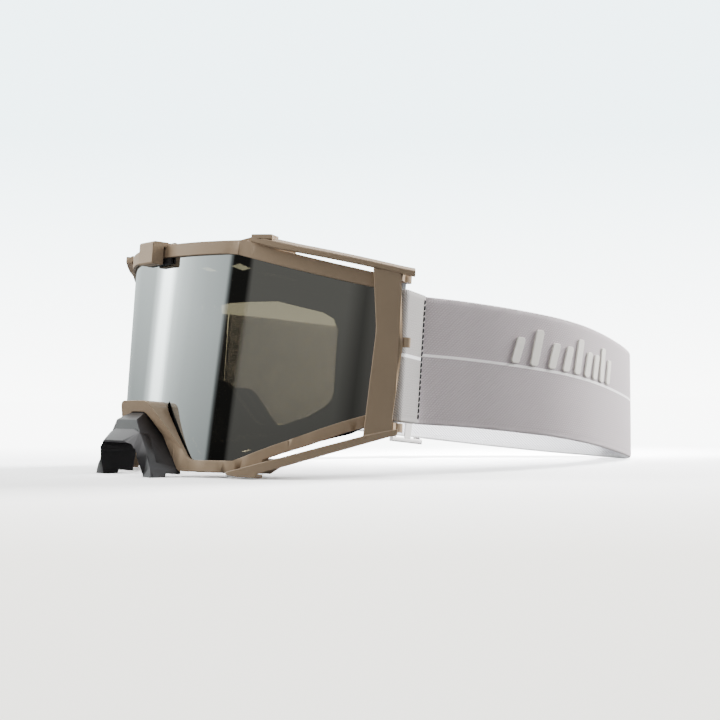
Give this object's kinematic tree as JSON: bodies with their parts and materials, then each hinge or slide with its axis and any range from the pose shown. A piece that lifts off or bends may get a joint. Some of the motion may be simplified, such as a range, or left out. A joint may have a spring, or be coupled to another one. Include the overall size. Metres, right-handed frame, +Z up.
{
  "type": "motocross goggles",
  "caption": "Off-road riding goggles with a curved mirrored lens, hinged outriggers, elastic head strap, lift-up lens latch and clip-in nose guard.",
  "frame": {"origin": "on the table under the middle of the object's box; the goggles stand as pictured, on the nose guard's feet and the back of the strap", "axes": "+Z up, the lens faces -Y, +X is the wearer's left; the goggles lean back 4.75 degrees"},
  "size_m": [0.199, 0.2696, 0.0938],
  "materials": {
    "tan_frame": "moulded TPU, satin",
    "dark_frame": "moulded TPU, satin black",
    "mirror_lens": "silver mirror coating on polycarbonate",
    "gasket": "matt black",
    "steel_pin": "ground",
    "nose_rubber": "charcoal, satin",
    "strap_webbing": "mauve-grey twill elastic with a pale centre line",
    "loop_webbing": "pale grey twill elastic",
    "black_thread": "bonded polyester thread",
    "buckle_plastic": "moulded acetal",
    "raised_rubber": "off-white, matt",
    "grip_silicone": "clear-white silicone print",
    "firm_foam": "dense open-cell foam",
    "soft_foam": "soft open-cell foam",
    "fleece": "brushed fleece",
    "vent_foam": "coarse filter foam"
  },
  "bodies": {
    "frame": {"front_frame": "tan_frame", "inner_frame": "dark_frame", "lens": "mirror_lens", "lens_gasket": "gasket", "latch_pin": "steel_pin", "latch_pad": "gasket", "pivot_pins": "steel_pin", "strap": "strap_webbing", "strap_tail": "strap_webbing", "strap_motif": "raised_rubber", "grip_lines": "grip_silicone", "base_foam": "firm_foam", "face_foam": "soft_foam", "fleece_liner": "fleece", "top_vent_foam": "vent_foam", "bottom_vent_foam": "vent_foam"},
    "latch": {"lens_latch": "tan_frame"},
    "guard": {"nose_guard": "nose_rubber"},
    "outrigger_l": {"outrigger_left": "tan_frame", "strap_bar_left": "steel_pin", "strap_loop_left": "loop_webbing", "loop_stitching_left": "black_thread"},
    "outrigger_r": {"outrigger_right": "tan_frame", "strap_bar_right": "steel_pin", "strap_loop_right": "loop_webbing", "loop_stitching_right": "black_thread"},
    "adjuster": {"strap_adjuster": "buckle_plastic"}
  },
  "joints": [
    {"name": "outrigger_left_hinge", "type": "hinge", "parent": "frame", "child": "outrigger_l", "pos_m": [0.055, -0.10199, 0.0405], "axis": [0, -0.0828, -0.9966], "range_deg": [0, 10]},
    {"name": "outrigger_right_hinge", "type": "hinge", "parent": "frame", "child": "outrigger_r", "pos_m": [-0.055, -0.10199, 0.0405], "axis": [0, 0.0828, 0.9966], "range_deg": [0, 10]},
    {"name": "lens_latch_hinge", "type": "hinge", "parent": "frame", "child": "latch", "pos_m": [0, -0.11068, 0.0919], "axis": [-1, 0, 0], "range_deg": [0, 75]},
    {"name": "nose_guard_pull", "type": "slide", "parent": "frame", "child": "guard", "axis": [0, -0.9966, 0.0828], "range_m": [0, 0.02]},
    {"name": "strap_adjuster_slide", "type": "slide", "parent": "frame", "child": "adjuster", "axis": [-0.3619, -0.924, 0.1237], "range_m": [-0.004, 0.004]}
  ]
}
